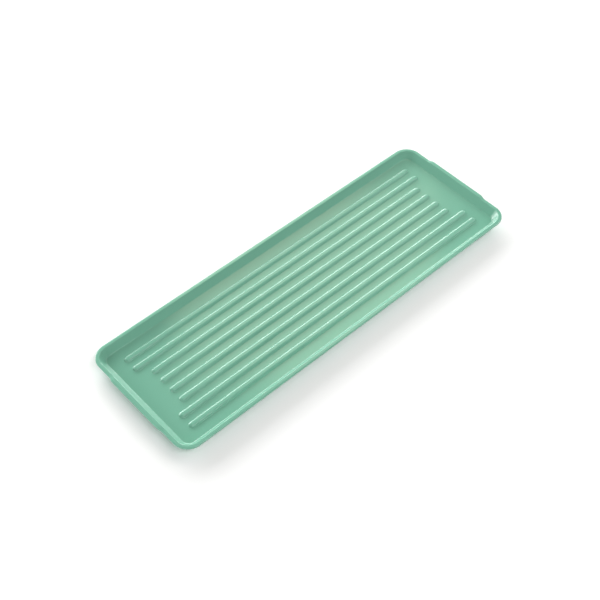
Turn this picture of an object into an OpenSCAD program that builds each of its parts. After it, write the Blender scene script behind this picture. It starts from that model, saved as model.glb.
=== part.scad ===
// Shallow ribbed tray: a one-piece moulded shell on four soft feet.
// X runs along the tray, Y across it and Z up. The origin is on the surface that
// the feet stand on, under the middle of the tray. All sizes are in millimetres.

/* [Tray] */
// Length over the rim, without the grips
tray_l = 400; // [320:5:600]
// Width over the rim
tray_w = 138; // [112:1:240]
// Depth from the top of the rim down to the floor
tray_depth = 6.4; // [4.8:0.2:12]
// Thickness of the moulded wall
wall_t = 2.2; // [1.6:0.1:2.8]
// Slope of the side walls, measured from level
wall_angle = 50; // [40:1:65]
// Radius of the floor's corners, seen from above
floor_corner_r = 7.1; // [6.5:0.1:25]

/* [Rim] */
// Width of the rim, from its outer edge to the top of the wall
rim_w = 3.5; // [3:0.1:10]
// Radius where the rim turns down into the wall
rim_bend_r = 0.7; // [0.3:0.1:1.5]
// Radius where the wall turns into the floor
floor_bend_r = 1; // [0.5:0.1:3]

/* [Grips] */
// Length of the grip on each short end, along its raised top
grip_l = 64; // [40:1:80]
// Length of the ramp at each end of a grip
grip_ramp = 6; // [1:0.5:8]
// How far a grip stands above the rim
grip_lift = 0.6; // [0.3:0.1:1.6]
// How far a grip stands out past the rim
grip_out = 1.3; // [0.3:0.1:3]

/* [Ribs] */
// Number of ribs on the floor
rib_count = 8; // [4:1:9]
// Number of long ribs on each side of the shorter ones
long_rib_count = 2; // [1:1:4]
// Width of a rib at the floor
rib_w = 6.6; // [4:0.1:8]
// Height of a rib above the floor
rib_h = 1.8; // [1:0.1:2.4]
// Slope of a rib's sides, measured from level
rib_flank = 55; // [52:1:70]
// Radius of a rib's shoulders, where its sides turn into its level crown
rib_shoulder_r = 2.2; // [0.3:0.1:2.5]
// Floor left clear between the long edge of the floor and the outermost rib
rib_side_gap = 11; // [6:0.5:14]
// Floor left clear between the short edge of the floor and a long rib
rib_end_gap = 13; // [9:0.5:30]
// How much further in the shorter ribs stop at each end
short_rib_setback = 10.6; // [0:0.2:40]
// Width of the hollow moulded up into a rib from below
groove_w = 3.8; // [2:0.1:5]

/* [Feet] */
// Diameter of a foot where it meets the floor
foot_d = 8.5; // [6:0.5:9.5]
// Height of a foot, which is the gap left under the floor
foot_h = 3; // [2:0.1:8]
// Draw-in of a foot's side from its top to its bottom
foot_taper = 0.4; // [0:0.1:1]
// Radius round a foot's bottom edge
foot_edge_r = 0.7; // [0.2:0.1:1]
// Distance from the edges of the floor to the middle of a foot
foot_inset = 7.1; // [7:0.1:9]
// Clearance between a foot and its seat
foot_clear = 0.2; // [0.1:0.05:0.5]
// Width of the seat's ring round a foot
seat_ring_w = 1.1; // [0.8:0.1:1.4]
// Height of the seat's ring below the floor
seat_ring_h = 0.8; // [0.4:0.1:1.5]

/* [Hidden] */

MINT = [0.49, 0.72, 0.62];
RUBBER = [0.72, 0.74, 0.72];

// Heights, from the surface that the feet stand on
floor_low = foot_h;
floor_top = floor_low + wall_t;
rim_top = floor_top + tray_depth;

// Plan of the shell, as distances in from the outer edge of the rim
wall_run = tray_depth / tan(wall_angle);
floor_edge = rim_w + wall_run;
corner_r = floor_edge + floor_corner_r;
// The underside of a bent sheet starts its bend this much nearer the rim
sheet_shift = wall_t * tan(wall_angle / 2);
rim_edge_r = wall_t / 2;
// The swept edge ends on the flat floor, and the floor plate laps under it
edge_end = floor_edge + floor_bend_r * tan(wall_angle / 2) + 0.5;
lap = 0.4;

floor_l = tray_l - 2 * floor_edge;
floor_w = tray_w - 2 * floor_edge;
side_l = tray_l - 2 * corner_r;
side_w = tray_w - 2 * corner_r;

// Ribs are spread evenly between the two outermost ones
rib_pitch = (floor_w - 2 * rib_side_gap - rib_w) / (rib_count - 1);
long_rib_l = floor_l - 2 * rib_end_gap;
short_rib_l = long_rib_l - 2 * short_rib_setback;
rib_root = wall_t / 2;
// A hollow rib keeps the wall's thickness over its crown
groove_h = rib_h;
groove_root = 1;
groove_inset = (rib_w - groove_w) / 2;

ARC_STEPS = 6;
ROUND_FN = 64;
GRIP_MARGIN = 5;
// Most of a rib's half crown that its shoulder may take up
SHOULDER_SHARE = 0.9;

// Points of an arc about c, from angle a0 to angle a1
function arc(c, r, a0, a1) = [
    for (i = [0 : ARC_STEPS])
        let (a = a0 + (a1 - a0) * i / ARC_STEPS)
        [c[0] + r * cos(a), c[1] + r * sin(a)]
];

// Convex bend at p, where a level surface turns down by the wall's angle
function bend_down(p, r) =
    arc([p[0] - r * tan(wall_angle / 2), p[1] - r], r, 90, 90 - wall_angle);

// Hollow bend at p, where the sloping wall turns level
function bend_level(p, r) =
    arc([p[0] + r * tan(wall_angle / 2), p[1] + r], r, 270 - wall_angle, 270);

function reversed(points) = [for (i = [len(points) - 1 : -1 : 0]) points[i]];

// Section through the shell's edge. The first coordinate is the distance in from
// the rim's outer edge and the second is the height above the top of the rim.
// A grip's section stands lift above the rim and out past it, on the same wall.
function edge_section(lift, out) =
    let (
        top_bend = [rim_w - lift / tan(wall_angle), lift],
        low_bend = [floor_edge, -tray_depth],
        under_top = [top_bend[0] - sheet_shift, lift - wall_t],
        under_low = [floor_edge - sheet_shift, -tray_depth - wall_t]
    )
    concat(
        arc([rim_edge_r - out, lift - rim_edge_r], rim_edge_r, 270, 90),
        bend_down(top_bend, rim_bend_r),
        bend_level(low_bend, floor_bend_r),
        [[edge_end, -tray_depth], [edge_end, -tray_depth - wall_t]],
        reversed(bend_level(under_low, floor_bend_r + wall_t)),
        [under_top]
    );

// Straight stretch of edge along Y, with its outer side facing +X at x = 0
module edge_run(length, section) {
    rotate([90, 0, 0])
        linear_extrude(height = length, center = true)
            mirror([1, 0])
                polygon(section);
}

// Quarter turn of edge round a corner of the rim, centred on the origin
module edge_corner(section) {
    rotate_extrude(angle = 90, $fn = ROUND_FN)
        translate([corner_r, 0])
            mirror([1, 0])
                polygon(section);
}

// All four sides and corners of the shell, at rim height
module edge_ring() {
    plain = edge_section(0, 0);
    for (end = [0, 1]) {
        rotate([0, 0, 180 * end]) {
            translate([tray_l / 2, 0, 0])
                edge_run(side_w, plain);
            rotate([0, 0, 90])
                translate([tray_w / 2, 0, 0])
                    edge_run(side_l, plain);
            translate([side_l / 2, side_w / 2, 0])
                edge_corner(plain);
            translate([side_l / 2, -side_w / 2, 0])
                rotate([0, 0, -90])
                    edge_corner(plain);
        }
    }
}

// Raised, widened stretch of rim in the middle of the +X end, ramped at both ends
module grip() {
    full_l = grip_l + 2 * grip_ramp;
    translate([tray_l / 2, 0, 0])
        intersection() {
            edge_run(full_l, edge_section(grip_lift, grip_out));
            // Seen along X, the grip's top ramps down to the rim
            rotate([90, 0, 90])
                translate([0, 0, -corner_r])
                    linear_extrude(height = corner_r + GRIP_MARGIN)
                        polygon([
                            [-full_l / 2, -tray_depth],
                            [full_l / 2, -tray_depth],
                            [full_l / 2, 0],
                            [grip_l / 2, grip_lift],
                            [-grip_l / 2, grip_lift],
                            [-full_l / 2, 0]
                        ]);
            // Seen from above, its outer edge ramps in to the rim's edge
            translate([0, 0, -tray_depth])
                linear_extrude(height = tray_depth + GRIP_MARGIN)
                    polygon([
                        [-floor_edge, -full_l / 2],
                        [0, -full_l / 2],
                        [grip_out, -grip_l / 2],
                        [grip_out, grip_l / 2],
                        [0, full_l / 2],
                        [-floor_edge, full_l / 2]
                    ]);
        }
}

// Flat floor inside the swept edge
module floor_plate() {
    inset = edge_end - lap;
    plate_r = corner_r - inset;
    linear_extrude(height = wall_t) {
        square([tray_l - 2 * inset, side_w], center = true);
        square([side_l, tray_w - 2 * inset], center = true);
        for (x = [-1, 1], y = [-1, 1])
            translate([x * side_l / 2, y * side_w / 2])
                circle(r = plate_r, $fn = ROUND_FN);
    }
}

// Section of a rib: a level crown with rounded shoulders and sloping sides, on a
// root that sinks below the floor's surface
module rib_section() {
    half_crown = rib_w / 2 - rib_h / tan(rib_flank);
    r = min(rib_shoulder_r, SHOULDER_SHARE * half_crown / tan(rib_flank / 2));
    centre = [half_crown - r * tan(rib_flank / 2), rib_h - r];
    side = concat([[rib_w / 2, -rib_root], [rib_w / 2, 0]], arc(centre, r, 90 - rib_flank, 90));
    other_side = [for (point = reversed(side)) [-point[0], point[1]]];
    polygon(concat(side, other_side));
}

// Section of the hollow under a rib: a low arch on a root that opens downwards
module groove_section() {
    arch_r = (groove_w * groove_w / 4 + groove_h * groove_h) / (2 * groove_h);
    intersection() {
        translate([0, groove_h - arch_r])
            circle(r = arch_r, $fn = ROUND_FN);
        translate([-groove_w / 2, 0])
            square([groove_w, groove_h]);
    }
    translate([-groove_w / 2, -groove_root])
        square([groove_w, groove_root]);
}

// Bead along X with rounded ends, swept from the section in children. The section
// is w wide, no higher than that, and the same on both sides
module bead(length, w) {
    rotate([90, 0, 90])
        linear_extrude(height = length - w, center = true)
            children();
    for (end = [0, 1])
        rotate([0, 0, 180 * end])
            translate([(length - w) / 2, 0, 0])
                rotate([0, 0, -90])
                    rotate_extrude(angle = 180, $fn = ROUND_FN)
                        intersection() {
                            children();
                            translate([0, -w])
                                square([w, 2 * w]);
                        }
}

// One bead for each rib, from the front side of the floor to the rear
module bead_row(w, end_inset) {
    for (i = [0 : rib_count - 1]) {
        from_side = min(i, rib_count - 1 - i);
        length = from_side < long_rib_count ? long_rib_l : short_rib_l;
        translate([0, (i - (rib_count - 1) / 2) * rib_pitch, 0])
            bead(length - 2 * end_inset, w)
                children();
    }
}

// Place children at the middle of a foot; side_x and side_y are -1 or 1
module at_foot(side_x, side_y) {
    translate([
        side_x * (floor_l / 2 - foot_inset),
        side_y * (floor_w / 2 - foot_inset),
        0
    ])
        children();
}

// Ring under the floor that a foot sits in
module foot_seat() {
    inner_r = foot_d / 2 + foot_clear;
    translate([0, 0, floor_low - seat_ring_h])
        rotate_extrude($fn = ROUND_FN)
            translate([inner_r, 0])
                square([seat_ring_w, seat_ring_h + rib_root]);
}

module tray() {
    color(MINT)
        difference() {
            union() {
                translate([0, 0, rim_top]) {
                    edge_ring();
                    for (end = [0, 1])
                        rotate([0, 0, 180 * end])
                            grip();
                }
                translate([0, 0, floor_low])
                    floor_plate();
                translate([0, 0, floor_top])
                    bead_row(rib_w, 0)
                        rib_section();
                for (x = [-1, 1], y = [-1, 1])
                    at_foot(x, y)
                        foot_seat();
            }
            translate([0, 0, floor_low])
                bead_row(groove_w, groove_inset)
                    groove_section();
        }
}

module foot(side_x, side_y) {
    low_r = foot_d / 2 - foot_taper;
    color(RUBBER)
        at_foot(side_x, side_y)
            rotate_extrude($fn = ROUND_FN)
                polygon(concat(
                    [[0, 0]],
                    arc([low_r - foot_edge_r, foot_edge_r], foot_edge_r, 270, 360),
                    [[foot_d / 2, foot_h - seat_ring_h], [foot_d / 2, foot_h], [0, foot_h]]
                ));
}

module foot_left_front() { foot(-1, -1); }
module foot_left_rear() { foot(-1, 1); }
module foot_right_front() { foot(1, -1); }
module foot_right_rear() { foot(1, 1); }

tray();
foot_left_front();
foot_left_rear();
foot_right_front();
foot_right_rear();
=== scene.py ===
# %% [markdown]
# # A shallow ribbed tray in glossy mint plastic
# The real tray is one thin-walled moulding with four soft feet stuck under it. The CAD frame
# already fixes every size. This lesson models the same tray again with rounded bends and crowned
# ribs, because gloss shows every facet and every sharp corner, and then gives it a plastic that
# looks moulded and used.
#
# The first three lines load the frame. Everything after them is built around it, in metres.

# %% Load the frame
import math

import bpy
from mathutils import Matrix, Vector


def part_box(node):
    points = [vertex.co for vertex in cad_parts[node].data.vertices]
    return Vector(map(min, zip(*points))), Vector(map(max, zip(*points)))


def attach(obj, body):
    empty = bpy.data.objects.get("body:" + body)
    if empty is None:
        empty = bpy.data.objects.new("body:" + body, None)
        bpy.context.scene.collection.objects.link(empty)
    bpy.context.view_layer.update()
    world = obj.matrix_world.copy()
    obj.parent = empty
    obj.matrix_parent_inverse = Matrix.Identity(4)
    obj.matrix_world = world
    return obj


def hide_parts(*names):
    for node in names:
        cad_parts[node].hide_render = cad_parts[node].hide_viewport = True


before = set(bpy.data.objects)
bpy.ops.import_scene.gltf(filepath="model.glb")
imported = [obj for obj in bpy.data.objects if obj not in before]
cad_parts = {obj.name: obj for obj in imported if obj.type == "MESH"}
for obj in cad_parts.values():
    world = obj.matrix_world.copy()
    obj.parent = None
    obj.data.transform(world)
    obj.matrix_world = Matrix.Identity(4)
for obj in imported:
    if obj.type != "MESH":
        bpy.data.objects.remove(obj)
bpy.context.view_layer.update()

# %% [markdown]
# ## Sizes
# A modelled piece has to stand exactly where its CAD twin stands, so the sizes are read from the
# frame's boxes wherever a box gives them. Only the sizes that a box can't tell, such as the
# thickness of the wall or the width of the rim, are written here.

# %% Sizes
MM = 0.001
WALL_T = 2.2 * MM
WALL_ANGLE = math.radians(50)
RIM_W = 3.5 * MM
FLOOR_CORNER_R = 7.1 * MM
GRIP_LIFT = 0.6 * MM
GRIP_OUT = 1.3 * MM

tray_low, tray_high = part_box("tray")
foot_low, foot_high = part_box("foot_right_rear")

tray_l = tray_high.x - tray_low.x - 2 * GRIP_OUT
tray_w = tray_high.y - tray_low.y
rim_top = tray_high.z - GRIP_LIFT
floor_low = foot_high.z
floor_top = floor_low + WALL_T
tray_depth = rim_top - floor_top
floor_edge = RIM_W + tray_depth / math.tan(WALL_ANGLE)
corner_r = floor_edge + FLOOR_CORNER_R
print(f"tray {tray_l / MM:.1f} x {tray_w / MM:.1f} mm, {tray_depth / MM:.1f} mm deep")
print(f"rim at {rim_top / MM:.1f} mm, floor at {floor_top / MM:.1f} mm, corners {corner_r / MM:.1f} mm")

# %% [markdown]
# ## Working by hand, in code
# Blender's operators act on whatever is selected, and the frame arrives all selected. These
# helpers do what a hand does between two tools: put everything down, take up one piece, and
# pick its points or faces by where they are or which way they look.

# %% Helpers for picking
NEARLY = 0.9  # how upright a normal has to be to count as up or down


def put_down():
    if bpy.context.mode != "OBJECT":
        bpy.ops.object.mode_set(mode="OBJECT")
    bpy.ops.object.select_all(action="DESELECT")


def take_up(piece):
    put_down()
    piece.select_set(True)
    bpy.context.view_layer.objects.active = piece


def pick(piece, kind, test):
    """Goes into edit mode with only the points or faces that pass the test picked."""
    take_up(piece)
    bpy.ops.object.mode_set(mode="EDIT")
    bpy.ops.mesh.select_mode(type="VERT" if kind == "points" else "FACE")
    bpy.ops.mesh.select_all(action="DESELECT")
    bpy.ops.object.mode_set(mode="OBJECT")
    mesh = piece.data
    items = mesh.vertices if kind == "points" else mesh.polygons
    for item in items:
        item.select = test(item)
    bpy.ops.object.mode_set(mode="EDIT")
    return sum(item.select for item in items)


def looks_up(face):
    """Tells whether a face looks nearly straight up."""
    return face.normal.z > NEARLY


def looks_down(face):
    """Tells whether a face looks nearly straight down."""
    return face.normal.z < -NEARLY


def finish_place(piece):
    """Moves the piece's place into its mesh, so its object stands at the origin."""
    take_up(piece)
    bpy.ops.object.transform_apply(location=True, rotation=True, scale=True)


def rounded_sheet(name, length, width, radius, height, steps):
    """Makes a flat face with rounded corners: a plane whose corner points are bevelled."""
    put_down()
    bpy.ops.mesh.primitive_plane_add(size=1, location=(0, 0, height))
    sheet = bpy.context.object
    sheet.name = name
    bpy.ops.object.mode_set(mode="EDIT")
    bpy.ops.transform.resize(value=(length, width, 1))
    bpy.ops.mesh.bevel(offset=radius, segments=steps, affect="VERTICES")
    bpy.ops.object.mode_set(mode="OBJECT")
    finish_place(sheet)
    return sheet

# %% [markdown]
# ## The shell's edge
# Rim, wall and floor edge all follow the same rounded outline, one inside the other. An inset
# with a depth does just that: it shrinks a face evenly and sinks it at the same time, so three
# insets turn a flat sheet into rim, wall and the start of the floor. Sweeping a profile along a
# curve would work too, but insets keep the corners' arcs in step with no extra clean-up.
#
# The bends stay sharp for now. They are rounded after the wall has its thickness, because a
# small bend that is thickened inwards would cross itself.

# %% Edge of the shell
CORNER_STEPS = 24
FLOOR_BRIM = 1.45 * MM

shell = rounded_sheet("tray_shell", tray_l, tray_w, corner_r, rim_top, CORNER_STEPS)
pick(shell, "faces", lambda face: True)
bpy.ops.mesh.inset(thickness=RIM_W)
bpy.ops.mesh.inset(thickness=floor_edge - RIM_W, depth=-tray_depth)
bpy.ops.mesh.inset(thickness=FLOOR_BRIM)
bpy.ops.mesh.delete(type="ONLY_FACE")
put_down()
print("shell edge:", len(shell.data.polygons), "faces")

# %% [markdown]
# ## Grips at the two ends
# In the middle of each short end the rim stands a little higher and wider, which stiffens the
# tray where fingers take hold of it. A modeller would cut a few stations across the end and lift
# them by a smooth ramp. The wall's own slope is followed while lifting, so the wall stays one
# flat face and only grows longer.

# %% Raise the grips
GRIP_L = 64 * MM
GRIP_RAMP = 6 * MM
RAMP_STEPS = 6
SAME_PLACE = 0.01 * MM


def near(a, b):
    return abs(a - b) < SAME_PLACE


def ramp_place(i):
    return GRIP_L / 2 + GRIP_RAMP * i / RAMP_STEPS


for side in (-1, 1):
    for i in range(RAMP_STEPS + 1):
        pick(shell, "faces", lambda face: True)
        bpy.ops.mesh.bisect(plane_co=(0, side * ramp_place(i), 0), plane_no=(0, 1, 0))

wall_outward = GRIP_LIFT / math.tan(WALL_ANGLE)
for end in (-1, 1):
    for i in range(RAMP_STEPS):
        left = 1 - i / RAMP_STEPS
        weight = left * left * (3 - 2 * left)
        for inset, outward in ((0, GRIP_OUT), (RIM_W, wall_outward)):
            x = tray_l / 2 - inset
            pick(shell, "points", lambda p: near(abs(p.co.y), ramp_place(i)) and near(end * p.co.x, x))
            bpy.ops.transform.translate(value=(end * outward * weight, 0, GRIP_LIFT * weight))
put_down()
print("grips reach", round(max(v.co.x for v in shell.data.vertices) / MM, 2), "mm from the middle")

# %% [markdown]
# ## One rib, then eight
# A rib is a low bead: a small hollow bend leads up from the floor, a straight flank follows, and
# a rounded shoulder turns into a level crown. Its footprint is a long slot with round ends, and
# each step of the profile is one inset that also rises. The two arcs meet the flank at its own
# slope, so the bead is smooth from floor to crown and needs no bevel.
#
# The profile is worked out first, as pairs of inset and rise.

# %% Rib profile
RIB_COUNT = 8
LONG_RIBS_EACH_SIDE = 2
RIB_W = 6.6 * MM
RIB_H = 1.8 * MM
RIB_SIDE_GAP = 11 * MM
RIB_END_GAP = 13 * MM
SHORT_RIB_SETBACK = 10.6 * MM
RIB_FLANK = math.radians(55)
RIB_FOOT_R = 0.8 * MM
RIB_SHOULDER_R = 2.2 * MM
RIB_STEPS = 7


def rib_steps():
    """Half the footprint's width, and pairs of inset and rise from there in to the crown."""
    half_w = RIB_W / 2 + RIB_FOOT_R * math.tan(RIB_FLANK / 2)
    half_crown = RIB_W / 2 - RIB_H / math.tan(RIB_FLANK) - RIB_SHOULDER_R * math.tan(RIB_FLANK / 2)
    slopes = [RIB_FLANK * i / RIB_STEPS for i in range(RIB_STEPS + 1)]
    profile = [(RIB_FOOT_R * math.sin(a), RIB_FOOT_R * (1 - math.cos(a))) for a in slopes]
    crown_start = half_w - half_crown
    for a in reversed(slopes):
        inward = crown_start - RIB_SHOULDER_R * math.sin(a)
        profile.append((inward, RIB_H - RIB_SHOULDER_R * (1 - math.cos(a))))
    steps = [(b[0] - a[0], b[1] - a[1]) for a, b in zip(profile, profile[1:])]
    return half_w, steps


rib_half_w, rib_profile = rib_steps()
floor_l = tray_l - 2 * floor_edge
floor_w = tray_w - 2 * floor_edge
long_rib_l = floor_l - 2 * RIB_END_GAP
rib_pitch = (floor_w - 2 * RIB_SIDE_GAP - RIB_W) / (RIB_COUNT - 1)
print(f"ribs {rib_half_w * 2 / MM:.2f} mm wide over their foot bends, {rib_pitch / MM:.2f} mm apart")

# %% [markdown]
# The bead itself starts as a flat slot with round ends and is built up by those insets. A
# bevelled box would be quicker, but a bevel can't make the hollow bend at the foot.

# %% Model the long rib
ROUND_END_STEPS = 12
spread = rib_half_w - RIB_W / 2
rib = rounded_sheet("rib", long_rib_l + 2 * spread, 2 * rib_half_w, rib_half_w, floor_top, ROUND_END_STEPS)
pick(rib, "points", lambda point: True)
bpy.ops.mesh.remove_doubles(threshold=SAME_PLACE)
pick(rib, "faces", lambda face: True)
for inward, rise in rib_profile:
    bpy.ops.mesh.inset(thickness=inward, depth=rise)
put_down()
print("rib:", len(rib.data.polygons), "faces, top", round(max(v.co.z for v in rib.data.vertices) / MM, 3))

# %% [markdown]
# The tray has two long ribs along each side and four shorter ones between them. The long rib is
# copied to all eight places, and the shorter ones then have their two ends pushed in, so every
# end keeps exactly the same curve.

# %% Copy the ribs
def copy_piece(piece, name, move):
    twin = piece.copy()
    twin.data = piece.data.copy()
    twin.name = name
    twin.data.transform(Matrix.Translation(move))
    bpy.context.scene.collection.objects.link(twin)
    return twin


ribs = []
for i in range(RIB_COUNT):
    y = (i - (RIB_COUNT - 1) / 2) * rib_pitch
    twin = copy_piece(rib, f"rib_{i + 1}", (0, y, 0))
    if min(i, RIB_COUNT - 1 - i) >= LONG_RIBS_EACH_SIDE:
        for side in (1, -1):
            pick(twin, "points", lambda point: point.co.x * side > 0)
            bpy.ops.transform.translate(value=(-side * SHORT_RIB_SETBACK, 0, 0))
    put_down()
    ribs.append(twin)
bpy.data.objects.remove(rib)
print(len(ribs), "ribs")

# %% [markdown]
# ## Seats for the feet
# Under each corner of the floor the moulding has a low ring that keeps a foot in place. Its
# footprint is drawn in the floor now, as a disc with an inset ring, and the ring is pulled down
# once the floor has its thickness. That keeps the whole shell one closed surface.

# %% Footprints of the seats
SEAT_CLEAR = 0.2 * MM
SEAT_RING_W = 1.1 * MM
SEAT_RING_H = 0.8 * MM
SEAT_POINTS = 48

foot_r = (foot_high.x - foot_low.x) / 2
foot_x = (foot_high.x + foot_low.x) / 2
foot_y = (foot_high.y + foot_low.y) / 2
seat_inner_r = foot_r + SEAT_CLEAR
seat_outer_r = seat_inner_r + SEAT_RING_W
foot_places = [(sx * foot_x, sy * foot_y) for sx in (-1, 1) for sy in (-1, 1)]

seats = []
for x, y in foot_places:
    put_down()
    bpy.ops.mesh.primitive_circle_add(
        vertices=SEAT_POINTS, radius=seat_outer_r, fill_type="NGON", location=(x, y, floor_top)
    )
    seat = bpy.context.object
    bpy.ops.object.mode_set(mode="EDIT")
    bpy.ops.mesh.inset(thickness=SEAT_RING_W)
    bpy.ops.object.mode_set(mode="OBJECT")
    finish_place(seat)
    seats.append(seat)
print(len(seats), "seat rings at", [(round(x / MM, 1), round(y / MM, 1)) for x, y in foot_places])

# %% [markdown]
# ## Close the floor
# The edge, the ribs and the seats are joined into one mesh. Each still ends in an open loop at
# floor height, so picking those loops and filling between them lays a flat floor with all the
# holes already in it. A grid of faces would also work, but every rib end would need patching.

# %% Fill the floor between the loops
take_up(shell)
for piece in ribs + seats:
    piece.select_set(True)
bpy.ops.object.join()
bpy.ops.object.mode_set(mode="EDIT")
bpy.ops.mesh.select_mode(type="EDGE")
bpy.ops.mesh.select_all(action="DESELECT")
bpy.ops.mesh.select_non_manifold(extend=False, use_wire=False, use_multi_face=False,
                                 use_non_contiguous=False, use_verts=False)
bpy.ops.object.mode_set(mode="OBJECT")
for edge in shell.data.edges:
    ends = [shell.data.vertices[i].co.z for i in edge.vertices]
    if max(ends) > floor_top + SAME_PLACE:
        edge.select = False
for point in shell.data.vertices:
    if point.co.z > floor_top + SAME_PLACE:
        point.select = False
bpy.ops.object.mode_set(mode="EDIT")
bpy.ops.mesh.fill(use_beauty=True)

upside_down = pick(shell, "faces", lambda face: face.normal.z < 0)
print("shell:", len(shell.data.polygons), "faces,", upside_down, "of them upside down")
bpy.ops.mesh.flip_normals()
put_down()

# %% [markdown]
# ## Thickness
# The Solidify modifier pushes a second skin down from the first at an even distance. Since the
# sheet already has its ribs, they come out hollow underneath, just as a pressed or thin-walled
# moulded tray has them. It is applied, so that the bends can be rounded by hand.

# %% Give the wall its thickness
take_up(shell)
thick = shell.modifiers.new("wall", "SOLIDIFY")
thick.thickness = WALL_T
thick.offset = -1
thick.use_even_offset = True
thick.use_quality_normals = True
bpy.ops.object.modifier_apply(modifier="wall")
print("shell:", len(shell.data.polygons), "faces, underside at",
      round(min(v.co.z for v in shell.data.vertices) / MM, 3), "mm")

# %% [markdown]
# ## Round the bends
# Every bend is one edge loop, and a bevel turns it into an arc. The inside of a bend and its
# outside share one centre, so the outer radius is the inner one plus the wall. The rim's outer
# edge is bevelled from above and from below until it is almost a full round. An arc that turns
# by an angle starts and ends at its radius times the tangent of half that angle from the corner,
# and this is the width that the bevel needs.

# %% Bevel the loops
BEND_TURN = WALL_ANGLE / 2
FLOOR_BEND_R = 1.0 * MM
RIM_BEND_R = 0.7 * MM
RIM_UNDER_R = 0.5 * MM
RIM_EDGE_R = 1.08 * MM
BEND_STEPS = 8


def bevel_loop(piece, inset, height, width, steps):
    """Bevels the loop that passes the middle of the front side at this inset and height."""
    take_up(piece)
    bpy.ops.object.mode_set(mode="EDIT")
    bpy.ops.mesh.select_mode(type="EDGE")
    bpy.ops.mesh.select_all(action="DESELECT")
    bpy.ops.object.mode_set(mode="OBJECT")
    place = Vector((0, inset - tray_w / 2, height))
    points = piece.data.vertices

    def distance(edge):
        middle = (points[edge.vertices[0]].co + points[edge.vertices[1]].co) / 2
        return (middle - place).length

    seed = min(piece.data.edges, key=distance)
    print(f"  seed is {distance(seed) / MM:.3f} mm from its place", end=", ")
    seed.select = True
    bpy.ops.object.mode_set(mode="EDIT")
    bpy.ops.mesh.loop_multi_select(ring=False)
    bpy.ops.object.mode_set(mode="OBJECT")
    print(sum(edge.select for edge in piece.data.edges), "edges in the loop")
    bpy.ops.object.mode_set(mode="EDIT")
    bpy.ops.mesh.bevel(offset=width, segments=steps, affect="EDGES", clamp_overlap=False)
    put_down()


width_per_r = math.tan(BEND_TURN)
under_shift = WALL_T * width_per_r
rim_low = rim_top - WALL_T
bevel_loop(shell, floor_edge, floor_top, FLOOR_BEND_R * width_per_r, BEND_STEPS)
bevel_loop(shell, floor_edge - under_shift, floor_low, (FLOOR_BEND_R + WALL_T) * width_per_r, BEND_STEPS)
bevel_loop(shell, RIM_W, rim_top, RIM_BEND_R * width_per_r, BEND_STEPS)
bevel_loop(shell, RIM_W - under_shift, rim_low, RIM_UNDER_R * width_per_r, BEND_STEPS // 2)
bevel_loop(shell, 0, rim_top, RIM_EDGE_R, BEND_STEPS)
bevel_loop(shell, 0, rim_low, RIM_EDGE_R, BEND_STEPS)
print("shell:", len(shell.data.polygons), "faces")

# %% [markdown]
# ## Pull the seat rings down
# The ring drawn in the floor is now in the underside too. Its faces are picked by how far they
# lie from a foot's middle, pulled down, and their new edge is eased a little.

# %% Seat rings
SEAT_EASE = 0.15 * MM
SEAT_EASE_STEPS = 3


def foot_distance(place):
    return min(math.hypot(place.x - x, place.y - y) for x, y in foot_places)


def seat_face(face):
    return looks_down(face) and seat_inner_r < foot_distance(face.center) < seat_outer_r


ring_faces = pick(shell, "faces", seat_face)
bpy.ops.mesh.extrude_region()
bpy.ops.transform.translate(value=(0, 0, -SEAT_RING_H))
bpy.ops.mesh.region_to_loop()
bpy.ops.mesh.bevel(offset=SEAT_EASE, segments=SEAT_EASE_STEPS, affect="EDGES", clamp_overlap=False)
put_down()
print(ring_faces, "ring faces pulled down")

# %% [markdown]
# ## Smooth shading
# Long flat faces meet narrow bend faces all over the tray. Weighted normals let the large flat
# face decide the normal on their shared edge, so the floor and the rim reflect as true flats and
# only the bends curve the light.

# %% Shade the shell
SHARP_FROM = math.radians(40)


def shade(piece):
    take_up(piece)
    bpy.ops.object.shade_smooth_by_angle(angle=SHARP_FROM)
    weighted = piece.modifiers.new("normals", "WEIGHTED_NORMAL")
    weighted.keep_sharp = True
    bpy.ops.object.modifier_apply(modifier="normals")
    put_down()


shade(shell)
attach(shell, "root")
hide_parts("tray")
print(shell.name, "is shaded and stands for the CAD tray")

# %% [markdown]
# ## A soft foot
# The feet are small turned-looking pads: a short cylinder that narrows a little downwards, with
# a rounded bottom edge and a shallow cup that makes it grip a wet shelf. It is a cylinder whose
# bottom is pulled in, inset and sunk; a spin of a profile would give the same shape.

# %% Model a foot
FOOT_TAPER = 0.4 * MM
FOOT_EDGE_R = 0.7 * MM
FOOT_EDGE_STEPS = 8
FOOT_TOP_EASE = 0.12 * MM
FOOT_TOP_STEPS = 2
CUP_INSET = 1.3 * MM
CUP_SLOPE = 0.35 * MM
CUP_DEPTH = 0.3 * MM
FOOT_POINTS = 64

foot_h = foot_high.z - foot_low.z
put_down()
bpy.ops.mesh.primitive_cylinder_add(
    vertices=FOOT_POINTS, radius=foot_r, depth=foot_h, location=(foot_x, foot_y, foot_h / 2)
)
foot = bpy.context.object
foot.name = "soft_foot_right_rear"
finish_place(foot)
foot_middle = (foot_x, foot_y, 0)
narrow = (foot_r - FOOT_TAPER) / foot_r
pick(foot, "faces", looks_down)
bpy.ops.transform.resize(value=(narrow, narrow, 1), center_override=foot_middle)
bpy.ops.mesh.region_to_loop()
bpy.ops.mesh.bevel(offset=FOOT_EDGE_R, segments=FOOT_EDGE_STEPS, affect="EDGES")
pick(foot, "faces", looks_up)
bpy.ops.mesh.region_to_loop()
bpy.ops.mesh.bevel(offset=FOOT_TOP_EASE, segments=FOOT_TOP_STEPS, affect="EDGES")
pick(foot, "faces", lambda face: looks_down(face) and len(face.vertices) == FOOT_POINTS)
bpy.ops.mesh.inset(thickness=CUP_INSET)
bpy.ops.mesh.inset(thickness=CUP_SLOPE, depth=-CUP_DEPTH / 2)
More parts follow.
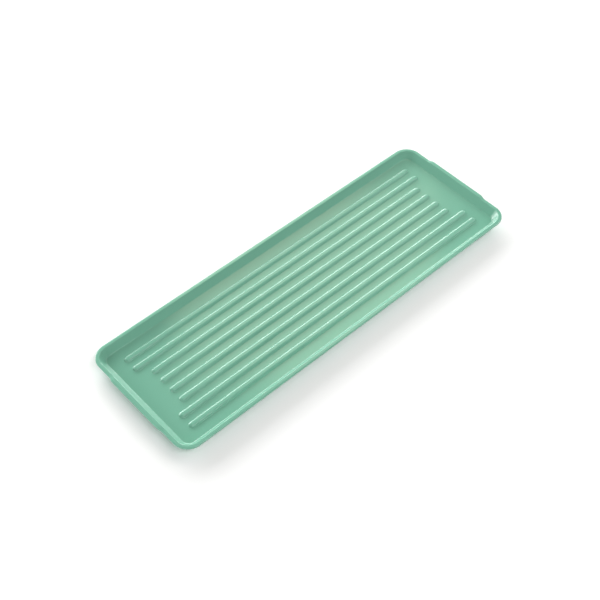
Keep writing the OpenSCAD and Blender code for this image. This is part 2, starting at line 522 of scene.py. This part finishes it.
bpy.ops.mesh.inset(thickness=CUP_SLOPE, depth=-CUP_DEPTH / 2)
put_down()
print("foot:", len(foot.data.polygons), "faces")

# %% [markdown]
# All four feet are the same pad, so one is modelled and the rest are copies with their own mesh.

# %% Copy the foot to its four places
shade(foot)
feet = {"foot_right_rear": foot}
for node, sx, sy in (("foot_right_front", 0, -2), ("foot_left_rear", -2, 0), ("foot_left_front", -2, -2)):
    feet[node] = copy_piece(foot, "soft_" + node, (sx * foot_x, sy * foot_y, 0))
for node, piece in feet.items():
    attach(piece, "root")
    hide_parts(node)
print("feet:", sorted(feet))

# %% [markdown]
# ## Helpers for node trees
# A material is a set of nodes and the wires between them. These helpers keep each node to one
# line, and each wire to one line that names both sockets. A group is a small tree of its own
# that several materials can use, and its sockets are declared on its interface.

# %% Node helpers
FLOAT = "NodeSocketFloat"


def add_node(tree, kind, place, inputs=(), **settings):
    """Adds a node of this kind; settings are its properties, inputs its starting values."""
    node = tree.nodes.new(kind)
    node.location = place
    for name, value in settings.items():
        setattr(node, name, value)
    for entry, value in inputs:
        node.inputs[entry].default_value = value
    return node


def wire(tree, source, exit_name, target, entry):
    tree.links.new(source.outputs[exit_name], target.inputs[entry])


def new_group(name, entries, exits):
    """Makes an empty group with float sockets; gives it with its input and output nodes."""
    group = bpy.data.node_groups.new(name, "ShaderNodeTree")
    for entry, value in entries:
        group.interface.new_socket(entry, in_out="INPUT", socket_type=FLOAT).default_value = value
    for exit_name in exits:
        group.interface.new_socket(exit_name, in_out="OUTPUT", socket_type=FLOAT)
    entry_node = add_node(group, "NodeGroupInput", (-1100, 0))
    exit_node = add_node(group, "NodeGroupOutput", (700, 0))
    return group, entry_node, exit_node


def use_group(tree, group, place, inputs=()):
    return add_node(tree, "ShaderNodeGroup", place, inputs, node_tree=group)


# %% [markdown]
# ## Shared effect: moulded skin
# No moulded surface is a perfect mirror. The mould leaves a soft waviness some millimetres wide,
# and its polish leaves a grain far finer than that. Plastic and rubber both come out of a mould,
# so both use this group, each with its own strengths. The cloud output is a broad, slow noise
# for small shifts of colour and sheen.

# %% Moulded skin group
skin, skin_in, skin_out = new_group(
    "moulded_skin",
    [("Wave scale", 70.0), ("Wave height", 1.0), ("Grain scale", 2600.0), ("Grain height", 0.1)],
    ["Height", "Cloud"],
)
place = add_node(skin, "ShaderNodeTexCoord", (-1100, 400))
wave = add_node(skin, "ShaderNodeTexNoise", (-800, 400), [("Detail", 1.5), ("Roughness", 0.4)])
grain = add_node(skin, "ShaderNodeTexNoise", (-800, 100), [("Detail", 3.0), ("Roughness", 0.6)])
cloud = add_node(skin, "ShaderNodeTexNoise", (-800, -200), [("Scale", 18.0), ("Detail", 5.0)])
wave_part = add_node(skin, "ShaderNodeMath", (-500, 400), operation="MULTIPLY")
grain_part = add_node(skin, "ShaderNodeMath", (-500, 100), operation="MULTIPLY")
both = add_node(skin, "ShaderNodeMath", (-200, 250), operation="ADD")
for noise in (wave, grain, cloud):
    wire(skin, place, "Object", noise, "Vector")
wire(skin, skin_in, "Wave scale", wave, "Scale")
wire(skin, skin_in, "Grain scale", grain, "Scale")
wire(skin, wave, "Fac", wave_part, 0)
wire(skin, skin_in, "Wave height", wave_part, 1)
wire(skin, grain, "Fac", grain_part, 0)
wire(skin, skin_in, "Grain height", grain_part, 1)
wire(skin, wave_part, 0, both, 0)
wire(skin, grain_part, 0, both, 1)
wire(skin, both, 0, skin_out, "Height")
wire(skin, cloud, "Fac", skin_out, "Cloud")
print("group:", skin.name)

# %% [markdown]
# ## Shared effect: fine scratches
# Things that are slid about leave hairline scratches, mostly along the object. A noise that is
# stretched along one direction gives streaks, and a narrow band cut out of it gives hairlines.
# Two sets cross at a small angle, and a slow noise keeps them to some patches.

# %% Fine scratches group
SCRATCH_TURNS = (0.16, -0.31)
STREAK = (0.05, 1, 0.4)

scratch, scratch_in, scratch_out = new_group(
    "fine_scratches", [("Scale", 260.0), ("Thinness", 0.012), ("Patches", 9.0)], ["Mask"]
)
place = add_node(scratch, "ShaderNodeTexCoord", (-1100, 400))
lines = []
for turn, level in zip(SCRATCH_TURNS, (400, 50)):
    turned = add_node(scratch, "ShaderNodeMapping", (-900, level))
    turned.inputs["Rotation"].default_value = (0, 0, turn)
    turned.inputs["Scale"].default_value = STREAK
    streak = add_node(scratch, "ShaderNodeTexNoise", (-700, level), [("Detail", 2.0)])
    centred = add_node(scratch, "ShaderNodeMath", (-500, level), [(1, 0.5)], operation="SUBTRACT")
    away = add_node(scratch, "ShaderNodeMath", (-300, level), operation="ABSOLUTE")
    hair = add_node(scratch, "ShaderNodeMapRange", (-100, level), [("To Min", 1.0), ("To Max", 0.0)])
    wire(scratch, place, "Object", turned, "Vector")
    wire(scratch, turned, "Vector", streak, "Vector")
    wire(scratch, scratch_in, "Scale", streak, "Scale")
    wire(scratch, streak, "Fac", centred, 0)
    wire(scratch, centred, 0, away, 0)
    wire(scratch, away, 0, hair, "Value")
    wire(scratch, scratch_in, "Thinness", hair, "From Max")
    lines.append(hair)
either = add_node(scratch, "ShaderNodeMath", (150, 200), operation="MAXIMUM")
patch = add_node(scratch, "ShaderNodeTexNoise", (-300, -400), [("Detail", 2.0)])
patch_edge = add_node(scratch, "ShaderNodeMapRange", (-100, -400), [("From Min", 0.45), ("From Max", 0.62)])
kept = add_node(scratch, "ShaderNodeMath", (400, 0), operation="MULTIPLY")
wire(scratch, lines[0], "Result", either, 0)
wire(scratch, lines[1], "Result", either, 1)
wire(scratch, place, "Object", patch, "Vector")
wire(scratch, scratch_in, "Patches", patch, "Scale")
wire(scratch, patch, "Fac", patch_edge, "Value")
wire(scratch, either, 0, kept, 0)
wire(scratch, patch_edge, "Result", kept, 1)
wire(scratch, kept, 0, scratch_out, "Mask")
print("group:", scratch.name)

# %% [markdown]
# ## Shared effect: height fade
# Wear and dirt both depend on height: things rub the highest places, and dirt gathers at the
# lowest. This small group turns height into a mask that is 0 at one height and 1 at another.

# %% Height fade group
fade, fade_in, fade_out = new_group("height_fade", [("Zero height", 0.0), ("Full height", 0.01)], ["Mask"])
place = add_node(fade, "ShaderNodeTexCoord", (-900, 200))
heights = add_node(fade, "ShaderNodeSeparateXYZ", (-600, 200))
ramp = add_node(fade, "ShaderNodeMapRange", (-300, 100))
wire(fade, place, "Object", heights, "Vector")
wire(fade, heights, "Z", ramp, "Value")
wire(fade, fade_in, "Zero height", ramp, "From Min")
wire(fade, fade_in, "Full height", ramp, "From Max")
wire(fade, ramp, "Result", fade_out, "Mask")
print("group:", fade.name)

# %% [markdown]
# ## Mint plastic
# A glossy moulded plastic, such as ABS: the colour goes right through, the reflections are
# nearly sharp, and a little light gets in and softens the thin edges. Three things keep it from
# looking like paint on glass. The mould's skin bends reflections very slightly, the tint drifts
# by a few percent where the melt flowed, and use has dulled it in patches, on the crowns of the
# ribs and on the rim, which get rubbed most.

# %% Mint plastic
MINT = (0.182, 0.43, 0.316, 1)
MINT_DEEP = (0.172, 0.412, 0.302, 1)
GLOSS = 0.10
DULLED = 0.14
CROWN_DULL = 0.02
SCRATCH_DULL = 0.12
SKIN_DEPTH = 0.008 * MM
HAIRLINE_DEPTH = 0.004 * MM
RUBBED_PART = 0.3
GLOW = 0.04
GLOW_REACH = 1.5 * MM
GLOW_BY_COLOUR = (0.6, 1.0, 0.8)

plastic = bpy.data.materials.new("glossy_mint")
plastic.use_nodes = True
tree = plastic.node_tree
shader = tree.nodes["Principled BSDF"]
shader.inputs["IOR"].default_value = 1.5
shader.inputs["Subsurface Weight"].default_value = GLOW
shader.inputs["Subsurface Radius"].default_value = GLOW_BY_COLOUR
shader.inputs["Subsurface Scale"].default_value = GLOW_REACH

mould = use_group(tree, skin, (-900, 0), [("Wave height", 1.0), ("Grain height", 0.05)])
hairlines = use_group(tree, scratch, (-900, -300))
tint = add_node(tree, "ShaderNodeMix", (-400, 300), data_type="RGBA")
tint.inputs["A"].default_value = MINT_DEEP
tint.inputs["B"].default_value = MINT
wire(tree, mould, "Cloud", tint, "Factor")
wire(tree, tint, "Result", shader, "Base Color")

crown_top = floor_top + RIB_H
crown = use_group(tree, fade, (-900, -600), [("Zero height", crown_top - RUBBED_PART * RIB_H),
                                             ("Full height", crown_top)])
print("colour and masks of", plastic.name)

# %% [markdown]
# Roughness is built up as one sum: the gloss, then what the broad clouds, the rubbed heights and
# the hairlines each add to it. The bumps are a few thousandths of a millimetre deep, as they are
# on a real polished moulding; anything deeper would make the bright lines on the ribs waver.

# %% Sheen of the plastic
def scaled(tree, source, exit_name, amount, place):
    """Adds a node whose first output carries the source times the amount."""
    times = add_node(tree, "ShaderNodeMath", place, [(1, amount)], operation="MULTIPLY")
    wire(tree, source, exit_name, times, 0)
    return times


def added(tree, first, second, place):
    total = add_node(tree, "ShaderNodeMath", place, operation="ADD")
    wire(tree, first, 0, total, 0)
    wire(tree, second, 0, total, 1)
    return total


sheen = add_node(tree, "ShaderNodeMapRange", (-650, 0), [("From Min", 0.35), ("From Max", 0.7),
                                                        ("To Min", GLOSS), ("To Max", DULLED)])
wire(tree, mould, "Cloud", sheen, "Value")
rubbed = scaled(tree, crown, "Mask", CROWN_DULL, (-450, -500))
scuffed = scaled(tree, hairlines, "Mask", SCRATCH_DULL, (-450, -300))
dull = added(tree, rubbed, scuffed, (-250, -400))
wire(tree, added(tree, sheen, dull, (-100, -100)), 0, shader, "Roughness")

mould_bump = add_node(tree, "ShaderNodeBump", (-300, -700), [("Strength", 0.6), ("Distance", SKIN_DEPTH)])
cut_bump = add_node(tree, "ShaderNodeBump", (-100, -700), [("Strength", 0.5), ("Distance", HAIRLINE_DEPTH)],
                    invert=True)
wire(tree, mould, "Height", mould_bump, "Height")
wire(tree, hairlines, "Mask", cut_bump, "Height")
wire(tree, mould_bump, "Normal", cut_bump, "Normal")
wire(tree, cut_bump, "Normal", shader, "Normal")
shell.data.materials.append(plastic)
print("material:", plastic.name)

# %% [markdown]
# ## Foot rubber
# A soft pale grey rubber. It is matt, has a stronger grain than the plastic, and picks up dirt
# where it meets the shelf, so its colour darkens towards the ground. It reuses all three groups.

# %% Foot rubber
RUBBER = (0.50, 0.52, 0.50, 1)
RUBBER_DIRTY = (0.30, 0.31, 0.30, 1)
DIRT_REACH = 1.2 * MM
MATT = 0.62
MATTEST = 0.78
POLISHED = -0.1

rubber = bpy.data.materials.new("soft_rubber")
rubber.use_nodes = True
tree = rubber.node_tree
shader = tree.nodes["Principled BSDF"]
shader.inputs["IOR"].default_value = 1.45

mould = use_group(tree, skin, (-900, 0), [("Wave scale", 400.0), ("Wave height", 0.4),
                                          ("Grain scale", 6000.0), ("Grain height", 1.0)])
scuffs = use_group(tree, scratch, (-900, -300), [("Scale", 900.0), ("Patches", 120.0), ("Thinness", 0.03)])
near_ground = use_group(tree, fade, (-900, 300), [("Zero height", DIRT_REACH), ("Full height", 0.0)])
dirt = add_node(tree, "ShaderNodeMath", (-500, 200), operation="MULTIPLY")
grey = add_node(tree, "ShaderNodeMix", (-300, 300), data_type="RGBA")
grey.inputs["A"].default_value = RUBBER
grey.inputs["B"].default_value = RUBBER_DIRTY
wire(tree, near_ground, "Mask", dirt, 0)
wire(tree, mould, "Cloud", dirt, 1)
wire(tree, dirt, 0, grey, "Factor")
wire(tree, grey, "Result", shader, "Base Color")
matt = add_node(tree, "ShaderNodeMapRange", (-450, -100), [("To Min", MATT), ("To Max", MATTEST)])
polish = scaled(tree, scuffs, "Mask", POLISHED, (-450, -300))
wire(tree, mould, "Cloud", matt, "Value")
wire(tree, added(tree, matt, polish, (-200, -150)), 0, shader, "Roughness")
rubber_bump = add_node(tree, "ShaderNodeBump", (-300, -600), [("Strength", 0.8), ("Distance", SKIN_DEPTH)])
wire(tree, mould, "Height", rubber_bump, "Height")
wire(tree, rubber_bump, "Normal", shader, "Normal")
for piece in feet.values():
    piece.data.materials.append(rubber)
print("material:", rubber.name)

# %% [markdown]
# ## Floor
# A plain pale sheet for the tray to stand on, far wider than the tray so that its edge stays out
# of the camera's view. It is almost white and matt, so it throws light back into the underside
# and keeps the shadow soft.

# %% Floor
FLOOR_SIDE = 8
PAPER_WHITE = (0.95, 0.95, 0.95, 1)

put_down()
bpy.ops.mesh.primitive_plane_add(size=FLOOR_SIDE, location=(0, 0, 0))
floor = bpy.context.object
floor.name = "studio_floor"
paper = bpy.data.materials.new("studio_paper")
paper.use_nodes = True
paper_shader = paper.node_tree.nodes["Principled BSDF"]
paper_shader.inputs["Base Color"].default_value = PAPER_WHITE
paper_shader.inputs["Roughness"].default_value = 0.9
paper_shader.inputs["Specular IOR Level"].default_value = 0.1
floor.data.materials.append(paper)
print("floor:", floor.name)

# %% [markdown]
# ## Camera
# The camera looks down over the front left corner, far enough away with a longish lens that the
# long sides stay nearly parallel. It aims at a point close to the middle of the rim and is rolled
# by less than a degree, as a hand-held one would be.

# %% Camera
AZIMUTH = math.radians(-41.5)
ELEVATION = math.radians(50.8)
ROLL = math.radians(-0.745)
DISTANCE = 0.9937
LENS = 65.3
AIM = Vector((-20.5 * MM, -10.4 * MM, rim_top))

toward = Vector((math.sin(AZIMUTH) * math.cos(ELEVATION), -math.cos(AZIMUTH) * math.cos(ELEVATION),
                 math.sin(ELEVATION)))
lens = bpy.data.cameras.new("camera")
lens.lens = LENS
lens.sensor_width = 36
camera = bpy.data.objects.new("camera", lens)
bpy.context.scene.collection.objects.link(camera)
camera.location = AIM + toward * DISTANCE
turn = (-toward).to_track_quat("-Z", "Y").to_matrix() @ Matrix.Rotation(ROLL, 3, "Z")
camera.rotation_euler = turn.to_euler()
bpy.context.scene.camera = camera
print("camera at", [round(v, 3) for v in camera.location])

# %% [markdown]
# ## Light
# The tray is lit the way small glossy things usually are: by big soft boxes, mostly from behind,
# in an otherwise dim room. A low strip behind it draws the thin bright line along every rib, and
# a wide box above the strip lights the floor from the back and leaves the ribs' near sides dark.
# A weaker warm box higher up lies in the middle of the floor's reflection as a faint veil, which
# fades towards both ends. Soft fills from the right, the front and the left keep the walls from
# going dark. They are placed so that none of them shows in the hollow corners.

# %% Lights
BOX_DISTANCE = 3.0
WARM = (1, 0.98, 0.72)
AIR_GREY = (0.08, 0.08, 0.08, 1)


def soft_box(name, azimuth, elevation, wide, high, brightness, tint=(1, 1, 1)):
    """Adds an area light that faces the tray.

    All angles are in degrees, as the tray sees the box. Azimuth 0 is straight behind the tray.
    """
    a = math.radians(azimuth)
    e = math.radians(elevation)
    direction = Vector((math.sin(a) * math.cos(e), math.cos(a) * math.cos(e), math.sin(e)))
    data = bpy.data.lights.new(name, "AREA")
    data.shape = "RECTANGLE"
    data.size = 2 * BOX_DISTANCE * math.tan(math.radians(wide / 2)) * math.cos(e)
    data.size_y = 2 * BOX_DISTANCE * math.tan(math.radians(high / 2))
    data.energy = brightness * math.pi * data.size * data.size_y
    data.color = tint
    light = bpy.data.objects.new(name, data)
    bpy.context.scene.collection.objects.link(light)
    light.location = direction * BOX_DISTANCE
    light.rotation_euler = direction.to_track_quat("Z", "Y").to_euler()


soft_box("back_strip", 17, 12, 80, 20, 7.6)
soft_box("back_box", 12, 25, 110, 22, 4.1)
soft_box("high_box", 42, 50, 28, 14, 2.5, WARM)
soft_box("right_box", 112, 40, 60, 30, 2.8)
soft_box("front_box", 180, 53, 50, 24, 5.0)
soft_box("left_box", 257, 17, 50, 26, 3.6)
world = bpy.data.worlds.new("studio_air")
world.use_nodes = True
world.node_tree.nodes["Background"].inputs["Color"].default_value = AIR_GREY
bpy.context.scene.world = world
bpy.context.scene.view_settings.view_transform = "Standard"
